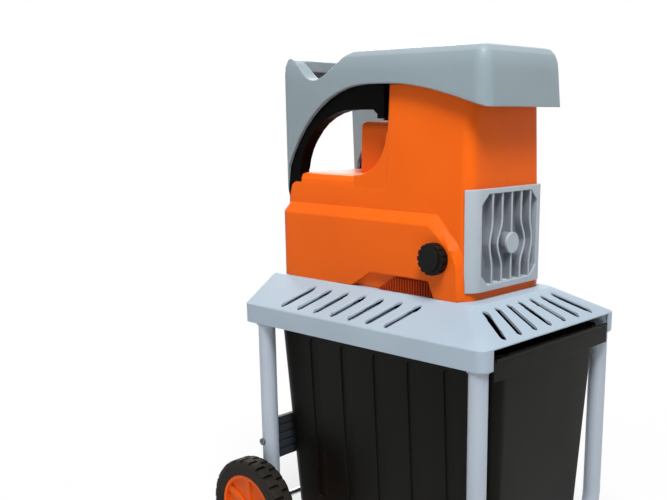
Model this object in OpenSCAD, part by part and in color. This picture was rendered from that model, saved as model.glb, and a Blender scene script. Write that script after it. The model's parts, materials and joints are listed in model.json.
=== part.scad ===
// Garden shredder: cutting unit and hopper on a tubular stand with wheels and a pull-out box.
// Millimetres, +Z up, box pulled out towards -Y, knob on the -X side.
// The origin lies on the floor, under the middle of the footprint.

/* [Stand] */
// Height of the cover's flat top above the floor
top_z = 545; // [520:1:600]
// Outside diameter of the leg tubes
tube_d = 32; // [28:1:33]
// Wall of the leg tubes
tube_wall = 1.5; // [1:0.1:3]
// Bend radius of the front hoop, to the tube's centreline
hoop_r = 100; // [85:1:115]
// Height of the feet under the hoop
foot_h = 34; // [24:1:40]
// Length of each foot along the hoop
foot_l = 52; // [40:1:60]
// Distance from the cover's side to the leg's centreline
leg_inset = 18; // [18:1:22]
// Distance from the cover's front to the front leg's centreline
front_leg_inset = 23; // [23:1:30]
// Distance from the cover's rear to the rear leg's centreline
rear_leg_inset = 47; // [42:1:54]
// Thickness of the rear cross panel
panel_t = 10; // [9:0.5:11]
// Height of the rear cross panel
panel_h = 83; // [60:1:110]
// Height of the cross panel's lower edge above the floor
panel_z = 185; // [150:1:230]

/* [Wheels] */
// Outside diameter of the wheels
wheel_d = 200; // [180:1:220]
// Width of the wheels
wheel_w = 48; // [40:1:56]
// Diameter of the hub disc inside the tyre
hub_d = 142; // [120:1:156]
// Diameter of the axle
axle_d = 12; // [10:1:16]
// Thickness of the washers beside the wheels
washer_t = 6; // [4:0.5:10]
// Number of tread blocks round each tyre
tread_n = 26; // [18:2:36]
// Depth of the tread
tread_h = 6; // [3:0.5:9]
// Number of spokes in each hub
spoke_n = 6; // [4:1:9]

/* [Cover] */
// Length of the cover, front to rear
cover_l = 572; // [552:1:610]
// Width of the cover
cover_w = 404; // [396:1:440]
// Height of the sloped faces
slope_h = 48; // [40:1:56]
// Height of the skirt below the slopes
skirt_h = 35; // [30:1:45]
// Wall of the cover
cover_wall = 3.5; // [2.5:0.1:4]
// Radius of the skirt's corners
corner_r = 18; // [14:1:26]
// Length of the sloped front, seen from above
front_slope_l = 77; // [70:1:84]
// Width of the cooling slots
slot_w = 13; // [9:0.5:15]
// Number of slots in each sloped face
slot_n = 7; // [3:1:7]

/* [Collection box] */
// Depth of the box
box_h = 388; // [340:1:390]
// Wall of the box
box_wall = 3; // [2.5:0.1:4]
// How far each side draws in from the rim to the floor
box_draw = 19; // [10:1:26]
// Gap between the box and the legs beside it
box_leg_gap = 13; // [10:1:18]
// Number of upright flutes in each side
flute_n = 5; // [3:1:7]
// Width of the flutes
flute_w = 22; // [14:1:30]
// Depth of the flutes
flute_h = 3; // [1.5:0.5:4]

/* [Housing] */
// Width of the housing's lower part
housing_w = 238; // [232:1:250]
// Wall of the housing
housing_wall = 4; // [3:0.1:4.5]
// Distance from the cover's front to the housing's front
housing_front = 105; // [100:1:112]
// Distance from the cover's rear to the housing's rear
housing_rear = 14; // [10:1:20]
// Height of the raised flanks
flank_h = 122; // [116:1:128]
// Height of the shoulder over the motor
shoulder_h = 197; // [194:1:206]
// Height of the tower
tower_h = 353; // [346:1:358]
// Width of the tower at its top
tower_w = 194; // [190:1:202]
// Length of the tower, front to rear
tower_l = 185; // [182:1:190]

/* [Hopper] */
// Height of the hopper's rim over the cover
rim_h = 412; // [406:1:424]
// Width of the hopper at its front
hopper_w = 234; // [228:1:240]
// How far the hopper stands out in front of the tower
hopper_over = 38; // [34:1:44]
// Depth of the hopper's front wall
hopper_front_h = 97; // [80:1:100]
// Wall of the hopper
hopper_wall = 7; // [5:0.5:8]
// How far the hopper's rounded top edge draws in
hopper_edge_r = 22; // [14:1:24]
// Height of the hopper's rounded top edge
hopper_edge_h = 36; // [24:1:40]
// Thickness of each side arm
arm_t = 30; // [26:1:36]
// Height of the dip in the arm's top edge
dip_h = 363; // [356:1:372]
// Height of the transport grip's top
grip_h = 404; // [398:1:412]

/* [Cutter] */
// Diameter of the cutting drum
drum_d = 96; // [90:1:100]
// Length of the cutting drum
drum_l = 88; // [80:1:92]
// Diameter of the drum's shaft
drum_shaft_d = 25; // [20:1:28]
// Number of teeth round the drum
drum_teeth = 8; // [6:1:10]
// Gap between the drum and the counter plate
cut_gap = 2.3; // [2:0.1:4]
// Thickness of the counter plate
counter_t = 24; // [20:1:28]
// Diameter of the adjusting screw
screw_d = 10; // [8:1:12]
// Diameter of the adjusting knob
knob_d = 54; // [45:1:60]
// Length of the adjusting knob
knob_l = 20; // [18:1:34]

/* [Drive] */
// Teeth of each pinion
pinion_teeth = 12; // [12:1:13]
// Teeth of each gear wheel
wheel_teeth = 60; // [56:1:60]
// Module of the motor's gear pair
fast_module = 1.5; // [1.4:0.05:1.5]
// Module of the drum's gear pair
slow_module = 2; // [1.9:0.05:2]
// Diameter of the motor
motor_d = 136; // [120:1:140]
// Length of the motor's barrel
motor_l = 132; // [110:1:140]
// Diameter of the motor's rotor
rotor_d = 75; // [64:1:80]
// Diameter of the motor's shaft
motor_shaft_d = 17; // [14:1:20]

/* [Controls] */
// Diameter of the on and off buttons
button_d = 18; // [14:1:20]
// Travel of the on and off buttons
button_travel = 4; // [2:0.5:5]
// Diameter of the direction selector
selector_d = 24; // [18:1:26]

/* [Fits] */
// Radial clearance of turning parts
run_gap = 0.05; // [0.03:0.01:0.1]
// Gap between parts that pass or rest on each other
slip_gap = 0.3; // [0.2:0.05:0.5]
// Radial clearance of fixed joints
seat_gap = 0.02; // [0.01:0.01:0.05]

/* [Hidden] */
$fn = 48;

orange = [0.93, 0.41, 0.12];
vent_orange = [0.62, 0.20, 0.05];
hopper_grey = [0.60, 0.65, 0.69];
cover_grey = [0.73, 0.79, 0.84];
tube_grey = [0.66, 0.71, 0.76];
panel_slate = [0.20, 0.22, 0.27];
box_black = [0.11, 0.11, 0.10];
trim_black = [0.06, 0.06, 0.06];
steel = [0.72, 0.73, 0.75];
alloy = [0.66, 0.67, 0.69];
copper = [0.72, 0.42, 0.22];

// Thickness of the slices that a hull is stretched over, and the overrun of a cut
slice = 0.01;
over = 1;

// Places of the stand, before the footprint is centred
half_w = cover_w / 2;
half_l = cover_l / 2;
leg_x = half_w - leg_inset;
front_leg_y = -half_l + front_leg_inset;
rear_leg_y = half_l - rear_leg_inset;
wheel_r = wheel_d / 2;
tube_r = tube_d / 2;
mid_y = (rear_leg_y + wheel_r - half_l) / 2;
skirt_z = top_z - slope_h;
skirt_low = skirt_z - skirt_h;
socket_r = tube_r + 3;
socket_low = skirt_low - 3;
leg_top = skirt_z - 4;
hoop_z = foot_h + tube_r;
hoop_run = leg_x - hoop_r;
foot_x = hoop_run - foot_l / 2;
leg_tail = 24;
leg_screw_z = panel_z + panel_h / 2;
leg_screw_r = 3;
panel_y = rear_leg_y + 4;

// Places along the axle
hub_in = leg_x + tube_r + slip_gap + washer_t;
hub_out = hub_in + wheel_w;
cap_t = 7;
axle_half = hub_out + cap_t - 2;
axle_hole_r = axle_d / 2 + seat_gap;

// Collection box
box_x = leg_x - tube_r - box_leg_gap;
box_front = -half_l + 8;
box_rear = rear_leg_y + 4;
rim_gap = 18;
box_top = skirt_z - rim_gap;
box_low = box_top - box_h;
box_r = 24;
rim_t = 4;
rail_t = 3;
rim_x = box_x + 9;
rail_z = box_top - rim_t - slip_gap;
rail_lap = 7;
front_flange_x = half_w - 28;
front_flange_h = 36;
opening_x = half_w - 26;

// Housing
hw = housing_w / 2;
front_y = -half_l + housing_front;
rear_y = half_l - housing_rear;
flank_bevel = 18;
flank_step = 13;
flank_set = 14;
tower_rear = front_y + tower_l;
tower_half = tower_w / 2;
tower_foot_half = hw - flank_step + 1;
tower_r = 20;
rear_r = 30;
cove_r = 75;
pod_half = 68;
pod_rear = tower_rear + 100;
pod_r = 14;
pod_corner = 16;
pod_ease = 8;
pod_top = shoulder_h + 95;

// Cutting unit
cut_y = front_y + 73;
drum_x = 12;
drum_z = top_z + 80;
side_gap = 2;
plate_t = 12;
chamber_front = cut_y - drum_l / 2 - side_gap;
chamber_rear = cut_y + drum_l / 2 + side_gap;
frame_front = chamber_front - plate_t;
frame_rear = chamber_rear + plate_t;
counter_face = drum_x - drum_d / 2 - cut_gap;
counter_back = counter_face - counter_t;
chamber_left = counter_back - 15;
chamber_right = drum_x + drum_d / 2 + 4;
frame_side_t = 8;
frame_left = chamber_left - frame_side_t;
frame_right = chamber_right + frame_side_t;
frame_h = drum_z - top_z + drum_d / 2 + 7;
bearing_d = drum_shaft_d + 22;
screw_y = cut_y - 14;
screw_z = drum_z - 11;
guide_z = drum_z - drum_d / 2 + 4;
screw_bite = 14;

// Gear train: the countershaft lies where both gear pairs meet at their centre distances
motor_x = -10;
motor_z = top_z + 98;
fast_a = fast_module * (pinion_teeth + wheel_teeth) / 2;
slow_a = slow_module * (pinion_teeth + wheel_teeth) / 2;
shaft_gap = norm([motor_x - drum_x, motor_z - drum_z]);
gear_along = (slow_a * slow_a - fast_a * fast_a + shaft_gap * shaft_gap) / (2 * shaft_gap);
gear_across = sqrt(slow_a * slow_a - gear_along * gear_along);
gear_dir = [motor_x - drum_x, motor_z - drum_z] / shaft_gap;
counter_x = drum_x + gear_along * gear_dir.x + gear_across * gear_dir.y;
counter_z = drum_z + gear_along * gear_dir.y - gear_across * gear_dir.x;
slow_angle = atan2(counter_z - drum_z, counter_x - drum_x);
fast_angle = atan2(motor_z - counter_z, motor_x - counter_x);
pressure = 20;
backlash = 0.25;
stub = 0.75;
counter_d = 15;
gear_t = 24;
fast_t = 14;
box_wall_t = 6;
gearbox_front = frame_rear;
slow_front = gearbox_front + 8 + 4;
fast_front = slow_front + gear_t + 6;
gearbox_rear = fast_front + fast_t + 8;
cover_plate_t = 10;
motor_front = gearbox_rear + cover_plate_t;
motor_rear = motor_front + motor_l;
shield_t = 10;
fan_front = motor_rear + shield_t + 4;
fan_t = 16;

// Hopper
hopper_half = hopper_w / 2;
hopper_front = front_y - hopper_over;
hopper_low = rim_h - hopper_front_h;
arch_h = tower_h + 1;
arch_y = tower_rear + 39;
arm_rear = rear_y - 5;
arm_half = hopper_half - 9;
dip_y = arm_rear - 89;
arm_in = arm_half - arm_t;
liner_in = arm_in + 8;
liner_out = arm_half - 5;
liner_deep = 43;
floor_t = 5;
ledge_drop = 12;
grip_r = 13;
web_w = 9;
hopper_draft = 5;
rim_land = 4;
lip_lap = 4;
mouth_half = hopper_half - hopper_draft - hopper_edge_r - rim_land;
mouth_front = hopper_front + hopper_draft + hopper_edge_r + rim_land;
mouth_rear = tower_rear + 34;
throat_half = tower_half - 21;

// Switch unit on the rear of the housing's pod
switch_half = 40;
switch_low = top_z + shoulder_h + 17;
switch_h = 64;
switch_face = pod_rear + 4;
switch_back = pod_rear - 30;

module placed() {
    translate([0, -mid_y, 0]) children();
}

// An outline drawn in Y and Z, drawn out along X
module along_x(x0, x1) {
    translate([x0, 0, 0]) rotate([90, 0, 90]) linear_extrude(x1 - x0) children();
}

// An outline drawn in X and Z, drawn out along Y
module along_y(y0, y1) {
    translate([0, y1, 0]) rotate([90, 0, 0]) linear_extrude(y1 - y0) children();
}

module rod_x(x0, x1, y, z, r) {
    translate([x0, y, z]) rotate([0, 90, 0]) cylinder(h = x1 - x0, r = r);
}

module rod_y(y0, y1, x, z, r) {
    translate([x, y1, z]) rotate([90, 0, 0]) cylinder(h = y1 - y0, r = r);
}

module block(x0, x1, y0, y1, z0, z1) {
    translate([x0, y0, z0]) cube([x1 - x0, y1 - y0, z1 - z0]);
}

module round_rect(x0, x1, y0, y1, r) {
    translate([x0 + r, y0]) square([x1 - x0 - 2 * r, y1 - y0]);
    translate([x0, y0 + r]) square([x1 - x0, y1 - y0 - 2 * r]);
    for (x = [x0 + r, x1 - r], y = [y0 + r, y1 - r])
        translate([x, y]) circle(r);
}

module slab(z, half, y0, y1, r) {
    translate([0, 0, z]) linear_extrude(slice) round_rect(-half, half, y0, y1, r, $fn = 32);
}

module slot_2d(a, b, w) {
    d = b - a;
    translate(a) rotate(atan2(d.y, d.x)) {
        translate([0, -w / 2]) square([norm(d), w]);
        circle(w / 2);
        translate([norm(d), 0]) circle(w / 2);
    }
}

// Base cover
module skirt_plan(inset) {
    round_rect(-half_w + inset, half_w - inset, -half_l + inset, half_l - inset, corner_r - inset);
}

module plateau_plan(inset) {
    front_r = 30;
    for (side = [-1, 1]) {
        translate([side * (hw - front_r), -half_l + front_slope_l + front_r]) circle(front_r - inset,
            $fn = 32);
        translate([side * (hw - inset - 2), half_l - inset - 4]) square([4, 8], center = true);
    }
}

module cover_block(inset) {
    hull() {
        translate([0, 0, skirt_z - inset - slice]) linear_extrude(slice) skirt_plan(inset, $fn = 32);
        translate([0, 0, top_z - inset - slice]) linear_extrude(slice) plateau_plan(inset);
    }
    low = skirt_low - (inset > 0 ? over : 0);
    translate([0, 0, low]) linear_extrude(skirt_z - inset - slice - low) skirt_plan(inset);
}

module leg_places() {
    for (x = [-leg_x, leg_x], y = [front_leg_y, rear_leg_y])
        translate([x, y, 0]) children();
}

module side_slots() {
    pitch = 43;
    slant = 28;
    first = -half_l + front_slope_l + 106;
    top_x = hw + 23;
    low_x = hw + 67;
    for (side = [-1, 1], i = [0 : slot_n - 1])
        slot_2d([side * top_x, first + i * pitch], [side * low_x, first + slant + i * pitch], slot_w);
}

module front_slots() {
    top_y = -half_l + front_slope_l - 16;
    low_y = -half_l + 17;
    for (i = [0 : slot_n - 1])
        slot_2d([-115 + 34 * i, top_y], [-132 + 44 * i, low_y], slot_w);
}

module base_cover() {
    color(cover_grey) placed() difference() {
        union() {
            difference() {
                cover_block(0);
                cover_block(cover_wall);
            }
            translate([0, 0, socket_low]) linear_extrude(leg_top + 4 - socket_low) intersection() {
                skirt_plan(cover_wall / 2);
                leg_circles(socket_r);
            }
        }
        leg_places() translate([0, 0, socket_low - over])
            cylinder(h = leg_top - socket_low + over, r = tube_r + seat_gap);
        block(-opening_x, opening_x, -half_l - over, -half_l + cover_wall, socket_low - over, skirt_z - 2);
        translate([0, 0, skirt_low]) linear_extrude(slope_h + skirt_h) {
            side_slots();
            front_slots();
        }
        block(chamber_left, chamber_right, chamber_front, chamber_rear, skirt_z, top_z + over);
    }
}

module leg_circles(r) {
    for (x = [-leg_x, leg_x], y = [front_leg_y, rear_leg_y])
        translate([x, y]) circle(r);
}

// Stand
module tube_ring() {
    difference() {
        circle(tube_r);
        circle(tube_r - tube_wall);
    }
}

module front_hoop() {
    color(tube_grey) placed() translate([0, front_leg_y, 0]) {
        for (side = [-1, 1]) {
            translate([side * leg_x, 0, hoop_z + hoop_r])
                linear_extrude(leg_top - hoop_z - hoop_r) tube_ring();
            translate([side * hoop_run, 0, hoop_z + hoop_r]) rotate([90, 0, 0])
                rotate([0, 0, side > 0 ? 270 : 180])
                    rotate_extrude(angle = 90) translate([hoop_r, 0]) tube_ring();
        }
        translate([-hoop_run, 0, hoop_z]) rotate([0, 90, 0]) linear_extrude(2 * hoop_run) tube_ring();
    }
}

module rear_leg(side) {
    low = wheel_r - leg_tail;
    color(tube_grey) placed() difference() {
        translate([side * leg_x, rear_leg_y, low]) linear_extrude(leg_top - low) tube_ring();
        rod_x(side * leg_x - tube_d, side * leg_x + tube_d, rear_leg_y, wheel_r, axle_hole_r);
        rod_x(side * leg_x - tube_d, side * leg_x + tube_d, panel_y, leg_screw_z, leg_screw_r + seat_gap);
    }
}

module left_rear_leg() { rear_leg(-1); }

module right_rear_leg() { rear_leg(1); }

module rear_cross_panel() {
    groove_n = 4;
    groove = 4;
    color(panel_slate) placed() difference() {
        block(-leg_x, leg_x, panel_y - panel_t / 2, panel_y + panel_t / 2, panel_z, panel_z + panel_h);
        for (side = [-1, 1])
            translate([side * leg_x, rear_leg_y, panel_z - over])
                cylinder(h = panel_h + 2 * over, r = tube_r + seat_gap);
        rod_x(-leg_x, leg_x, panel_y, leg_screw_z, leg_screw_r + seat_gap);
        for (i = [1 : groove_n])
            translate([0, panel_y - panel_t / 2, panel_z + i * panel_h / (groove_n + 1)])
                cube([2 * leg_x, groove, groove], center = true);
    }
}

module foot(side) {
    foot_w = tube_d + 14;
    color(trim_black) placed() translate([side * foot_x, front_leg_y, 0]) difference() {
        along_x(-foot_l / 2, foot_l / 2)
            polygon([[-foot_w / 2, 0], [foot_w / 2, 0], [foot_w / 2, 14], [tube_r + 5, hoop_z + 4],
                [-tube_r - 5, hoop_z + 4], [-foot_w / 2, 14]]);
        rod_x(-foot_l, foot_l, 0, hoop_z, tube_r + seat_gap);
        block(-foot_l, foot_l, -tube_r - seat_gap, tube_r + seat_gap, hoop_z, hoop_z + tube_d);
    }
}

module left_foot() { foot(-1); }

module right_foot() { foot(1); }

// Rear axle and wheels
module wheel_axle() {
    color(steel) placed() rod_x(-axle_half, axle_half, rear_leg_y, wheel_r, axle_d / 2);
}

module axle_ring(x0, x1, r) {
    difference() {
        rod_x(x0, x1, rear_leg_y, wheel_r, r);
        rod_x(x0 - over, x1 + over, rear_leg_y, wheel_r, axle_hole_r);
    }
}

module axle_washers() {
    inner = leg_x + tube_r;
    color(steel) placed() for (side = [-1, 1]) {
        x = side * (inner + washer_t / 2);
        axle_ring(x - washer_t / 2, x + washer_t / 2, axle_d / 2 + 6);
    }
}

module axle_caps() {
    start = hub_out + slip_gap;
    color(trim_black) placed() for (side = [-1, 1]) difference() {
        translate([side * start, rear_leg_y, wheel_r]) rotate([0, side * 90, 0])
            rotate_extrude() polygon([[0, 0], [13, 0], [13, 3], [9, cap_t], [0, cap_t]]);
        rod_x(-axle_half - slip_gap, axle_half + slip_gap, rear_leg_y, wheel_r, axle_hole_r);
    }
}

// A wheel part is drawn along +X from its inner face, then set on its side of the machine
module on_wheel(side) {
    placed() translate([side * hub_in, rear_leg_y, wheel_r]) rotate([0, side * 90, 0])
        rotate([0, 0, 90]) children();
}

module tyre(side) {
    tyre_r = hub_d / 2;
    color(trim_black) on_wheel(side) difference() {
        rotate_extrude($fn = 96) polygon([[tyre_r, 3], [wheel_r - 12, 0], [wheel_r - 3, 4], [wheel_r, 9],
            [wheel_r, wheel_w - 9], [wheel_r - 3, wheel_w - 4], [wheel_r - 12, wheel_w],
            [tyre_r, wheel_w - 3]]);
        for (i = [0 : tread_n - 1], row = [0, 1])
            rotate([0, 0, (i + 0.5 + row / 2) * 360 / tread_n])
                translate([wheel_r - tread_h, -3.5,
                    row * (wheel_w / 2 + 2) - 2 * row * over - over * (1 - row)])
                    cube([tread_h + over, 7, wheel_w / 2 - 1 + over]);
    }
}

module left_tyre() { tyre(-1); }

module right_tyre() { tyre(1); }

module hub(side) {
    rim_r = hub_d / 2 - seat_gap;
    web_low = wheel_w / 2 - 6;
    web_high = wheel_w - 12;
    boss_r = axle_d / 2 + 12;
    color(orange) on_wheel(side) difference() {
        union() {
            difference() {
                translate([0, 0, 4]) cylinder(h = wheel_w - 8, r = rim_r, $fn = 96);
                translate([0, 0, -over]) cylinder(h = web_low + over, r = rim_r - 7);
                translate([0, 0, web_high]) cylinder(h = wheel_w, r = rim_r - 7);
            }
            cylinder(h = wheel_w, r = boss_r);
            for (i = [0 : spoke_n - 1])
                rotate([0, 0, (i + 0.5) * 360 / spoke_n]) translate([boss_r - 4, -7, web_low + 2])
                    cube([rim_r - boss_r, 14, wheel_w - 10 - web_low]);
        }
        translate([0, 0, -over]) cylinder(h = wheel_w + 2 * over, r = axle_d / 2 + run_gap);
    }
}

module left_hub() { hub(-1); }

module right_hub() { hub(1); }

// Collection box and the rails that its rim hangs on
module box_rail(side) {
    wall_x = half_w - cover_wall;
    rail_front = front_leg_y + socket_r + 2;
    rail_rear = rear_leg_y - socket_r - 2;
    color(tube_grey) placed() mirror([side > 0 ? 0 : 1, 0, 0]) {
        block(rim_x - rail_lap, wall_x, rail_front, rail_rear, rail_z - rail_t, rail_z);
        block(wall_x - rail_t, wall_x, rail_front, rail_rear, rail_z - slice, skirt_z - 6);
    }
}

module left_box_rail() { box_rail(-1); }

module right_box_rail() { box_rail(1); }

module box_block(inset, z0) {
    hull() {
        slab(box_top - slice, box_x - inset, box_front + inset, box_rear - inset, box_r - inset);
        slab(z0, box_x - box_draw - inset, box_front + box_draw + inset, box_rear - box_draw - inset,
            box_r - inset);
    }
}

// Upright flutes with round ends, laid along each drafted side from x0 to x1 off its face
module box_flutes(grow, x0, x1) {
    tilt = atan(box_draw / box_h);
    drop = 38;
    low_gap = 26;
    pitch = (box_rear - box_front - 2 * box_r - 12 + flute_w) / (flute_n + 1);
    first = box_front + box_r + 6 + pitch - flute_w / 2;
    high = -drop / cos(tilt) - flute_w / 2;
    low = -(box_h - low_gap) / cos(tilt) + flute_w / 2;
    for (side = [-1, 1], i = [0 : flute_n - 1])
        mirror([side > 0 ? 0 : 1, 0, 0]) translate([box_x, first + i * pitch, box_top]) rotate([0, tilt, 0])
            along_x(x0, x1) slot_2d([0, low], [0, high], flute_w + 2 * grow);
}

module collection_box() {
    color(box_black) placed() difference() {
        union() {
            box_block(0, box_low);
            translate([0, 0, box_top - rim_t]) linear_extrude(rim_t)
                round_rect(-rim_x, rim_x, box_front, box_rear + 6, box_r);
            block(-front_flange_x, front_flange_x, -half_l + 0.5, -half_l + 3.5,
                box_top - front_flange_h, box_top);
            block(-box_x + box_r, box_x - box_r, -half_l + 3, box_front + 2, box_top - rim_t, box_top);
        }
        box_flutes(0, -flute_h, flute_h);
        difference() {
            box_block(box_wall, box_low + box_wall);
            box_flutes(box_wall, -flute_h - box_wall, 0);
        }
        translate([0, 0, box_top - box_wall]) linear_extrude(box_wall + over)
            round_rect(-box_x + box_wall, box_x - box_wall, box_front + box_wall, box_rear - box_wall,
                box_r - box_wall);
    }
}

// Housing
module housing_lower(inset) {
    rear_c = rear_y - rear_r;
    top = top_z + flank_h - inset;
    bevel_top = top + flank_bevel;
    side = hw - inset;
    near = front_y + inset;
    flank = near + flank_set;
    brow = near + flank_set - 3;
    front_half = side - 35;
    hull() {
        along_x(-side, side) polygon([[rear_c, top_z], [rear_c, top], [near + 76, top],
            [flank + 16, top_z + 83], [flank + 4, top_z + 62], [flank, top_z]]);
        along_x(-side + flank_step, side - flank_step) polygon([[rear_c, top_z], [rear_c, bevel_top],
            [near + 67, bevel_top], [brow + 9, top_z + 95], [brow, top_z + 70], [brow, top_z]]);
        along_x(-front_half, front_half) polygon([[flank, top_z], [flank, top_z + 95],
            [brow, top_z + 95], [near, top_z + 70], [near, top_z]]);
        for (x = [-hw + rear_r, hw - rear_r]) translate([x, rear_c, top_z]) {
            cylinder(h = flank_h - inset, r = rear_r - inset, $fn = 32);
            cylinder(h = flank_h + flank_bevel - inset, r = rear_r - flank_step - inset, $fn = 32);
        }
    }
}

module housing_shoulder(inset) {
    half = hw - flank_step - inset;
    far = rear_y - 3 - inset;
    near = tower_rear - 60;
    crown = top_z + shoulder_h - inset;
    hull() {
        slab(top_z + flank_h - 20, half, near, far, 26);
        slab(crown - 47, half - 1, near, far, 26);
        slab(crown - 25, half - 2, near, far - 5, 24);
        slab(crown - 11, half - 5, near, far - 17, 22);
        slab(crown - 3, half - 11, near, far - 33, 20);
        slab(crown - slice, half - 20, near, far - 61, 16);
    }
}

module housing_tower(inset) {
    small_r = 8;
    foot = [[slice, tower_foot_half, 0], [flank_h - 20, tower_foot_half, 0]];
    hull() for (level = concat(foot, [[tower_h, tower_half, 3]]))
        for (x = [-1, 1]) {
            half = level[1] - inset;
            translate([x * (half - tower_r), front_y + level[2] + inset + tower_r, top_z + level[0] - slice])
                cylinder(h = slice, r = tower_r, $fn = 32);
            translate([x * (half - small_r), tower_rear + 6 - 2 * level[2] - inset - small_r,
                top_z + level[0] - slice]) cylinder(h = slice, r = small_r, $fn = 32);
        }
}

// Hollow curve from the tower's rear down to the shoulder
module cove_outline(gap) {
    y0 = tower_rear - 20;
    cy = tower_rear + 3 + cove_r;
    cz = top_z + shoulder_h + cove_r;
    difference() {
        translate([y0, top_z + shoulder_h - 20]) square([cy - y0, cz - top_z - shoulder_h + 20]);
        translate([cy, cz]) circle(cove_r - gap, $fn = 96);
    }
}

module housing_cove() {
    intersection() {
        along_x(-hw, hw) cove_outline(0);
        hull() {
            slab(top_z + flank_h - 20, tower_foot_half - 1, tower_rear - 40, pod_rear, 4);
            slab(top_z + tower_h, tower_half - 1, tower_rear - 40, pod_rear, 4);
        }
    }
}

module housing_pod() {
    near = tower_rear - 30;
    hull() {
        slab(top_z + shoulder_h - 20, pod_half, near, pod_rear, pod_corner - pod_ease / 2);
        for (a = [0 : 30 : 90])
            slab(top_z + pod_top - pod_r * (1 - sin(a)) - slice, pod_half - pod_r * (1 - cos(a)), near,
                pod_rear - pod_r * (1 - cos(a)), pod_corner - pod_ease * sin(a));
    }
}

module vent_outline(z1, y0, y1, run) {
    polygon([[y0, top_z], [y1, top_z], [y1 - run, top_z + z1], [y0 + 13, top_z + z1]]);
}

vent_front = front_y + 64;
vent_rear = front_y + 259;
vent_h = 29;
vent_deep = 9;

module housing_shell() {
    difference() {
        union() {
            housing_lower(0);
            housing_shoulder(0);
            housing_tower(0);
            housing_cove();
            housing_pod();
        }
        difference() {
            union() {
                housing_lower(housing_wall);
                translate([0, 0, top_z - over]) linear_extrude(2 * over)
                    round_rect(-hw + housing_wall, hw - housing_wall, front_y + 20,
                        rear_y - housing_wall, rear_r);
            }
            for (side = [-1, 1])
                mirror([side > 0 ? 0 : 1, 0, 0]) block(hw - vent_deep - 2 * housing_wall, hw,
                    vent_front - housing_wall, vent_rear + housing_wall, top_z - 2 * over,
                    top_z + vent_h + housing_wall);
        }
        housing_tower_void();
        block(-hw + 20, hw - 20, tower_rear - 40, rear_y - 40, top_z + 60, top_z + shoulder_h - 14);
        block(counter_x - 62, counter_x + 88, tower_rear - 40, gearbox_rear + cover_plate_t + 5,
            top_z + 60, top_z + shoulder_h + 10);
        block(-pod_half + housing_wall, pod_half - housing_wall, tower_rear - 20, pod_rear - housing_wall,
            top_z + shoulder_h + 14, top_z + pod_top - 12);
        housing_openings();
    }
}

// Straight-sided void that keeps at least the wall all round the drafted tower
module housing_tower_void() {
    half = tower_half - housing_wall;
    translate([0, 0, top_z + 60]) linear_extrude(tower_h)
        round_rect(-half, half, front_y + 3 + housing_wall, tower_rear - housing_wall,
            tower_r - housing_wall);
}

module housing_openings() {
    block(grille_x - grille_half - 6, grille_x + grille_half + 6, front_y - over, grille_back + 5,
        top_z + grille_low - 6, top_z + grille_high + 6);
    rod_x(-hw - over, 0, screw_y, screw_z, screw_d / 2 + 2);
    for (side = [-1, 1])
        mirror([side > 0 ? 0 : 1, 0, 0]) translate([0, 0, -over]) along_x(hw - vent_deep, hw + over)
            vent_outline(vent_h + over, vent_front, vent_rear, 48);
    block(-switch_half - slip_gap, switch_half + slip_gap, pod_rear - 10, pod_rear + over,
        switch_low - slip_gap, switch_low + switch_h + slip_gap);
    rod_y(rear_y - 20, rear_y + over, inlet_x, inlet_z, inlet_r + slip_gap);
    for (p = screw_places)
        rod_x(hw - 2 * housing_wall, hw + over, p[0], p[1], housing_screw_r + seat_gap);
}

module housing_left() {
    color(orange) placed() intersection() {
        housing_shell();
        block(-hw - 10, 0, front_y - 10, rear_y + 10, top_z, top_z + tower_h + 10);
    }
}

module housing_right() {
    color(orange) placed() intersection() {
        housing_shell();
        block(0, hw + 10, front_y - 10, rear_y + 10, top_z, top_z + tower_h + 10);
    }
}

module vent_insert(side) {
    rib_pitch = 6;
    rib_w = 2;
    back = hw - vent_deep;
    far = vent_rear - 61;
    color(vent_orange) placed() mirror([side > 0 ? 0 : 1, 0, 0]) {
        along_x(back, back + 2) offset(delta = -slip_gap) vent_outline(vent_h - 3, vent_front, far, 42);
        intersection() {
            along_x(back + 2 - slice, hw - 1.5) offset(delta = -slip_gap)
                vent_outline(vent_h - 3, vent_front, far, 42);
            for (y = [vent_front + 8 : rib_pitch : far - 8])
                block(back, hw, y, y + rib_w, top_z, top_z + vent_h);
        }
    }
}

module left_vent_insert() { vent_insert(-1); }

module right_vent_insert() { vent_insert(1); }

// Front grille
grille_x = -1;
grille_half = 80;
grille_low = 24;
grille_high = 176;
grille_face = front_y - 8;
grille_back = front_y + 8;
grille_edge = 8;
grille_corner = 30;
grille_wrap = 17.5;
boss_x = grille_x + 6;
boss_z = drum_z + 9;
boss_r = 18;

module grille_window(grow) {
    clip = 18;
    x0 = grille_x - grille_half - grow;
    x1 = grille_x + grille_half + grow;
    z0 = top_z + grille_low - grow;
    z1 = top_z + grille_high + grow;
    polygon([[x0 + clip, z0], [x1 - clip, z0], [x1, z0 + clip], [x1, z1 - clip], [x1 - clip, z1],
        [x0 + clip, z1], [x0, z1 - clip], [x0, z0 + clip]]);
}

// A bar that bows out round the boss
module grille_bar(i) {
    pitch = 27.5;
    bar_w = 4;
    bow = i == 0 ? 0 : sign(i) * (18 - 5.5 * abs(i));
    x = boss_x + i * pitch;
    z0 = top_z + grille_low;
    z1 = top_z + grille_high;
    function bow_at(z) = abs(z - boss_z) < 40 ? bow * pow(cos((z - boss_z) * 90 / 40), 2) : 0;
    levels = concat([z0], [for (a = [-40 : 10 : 40]) boss_z + a], [z1]);
    polygon(concat([for (z = levels) [x - bar_w / 2 + bow_at(z), z]],
        [for (j = [len(levels) - 1 : -1 : 0]) [x + bar_w / 2 + bow_at(levels[j]), levels[j]]]));
}

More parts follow.
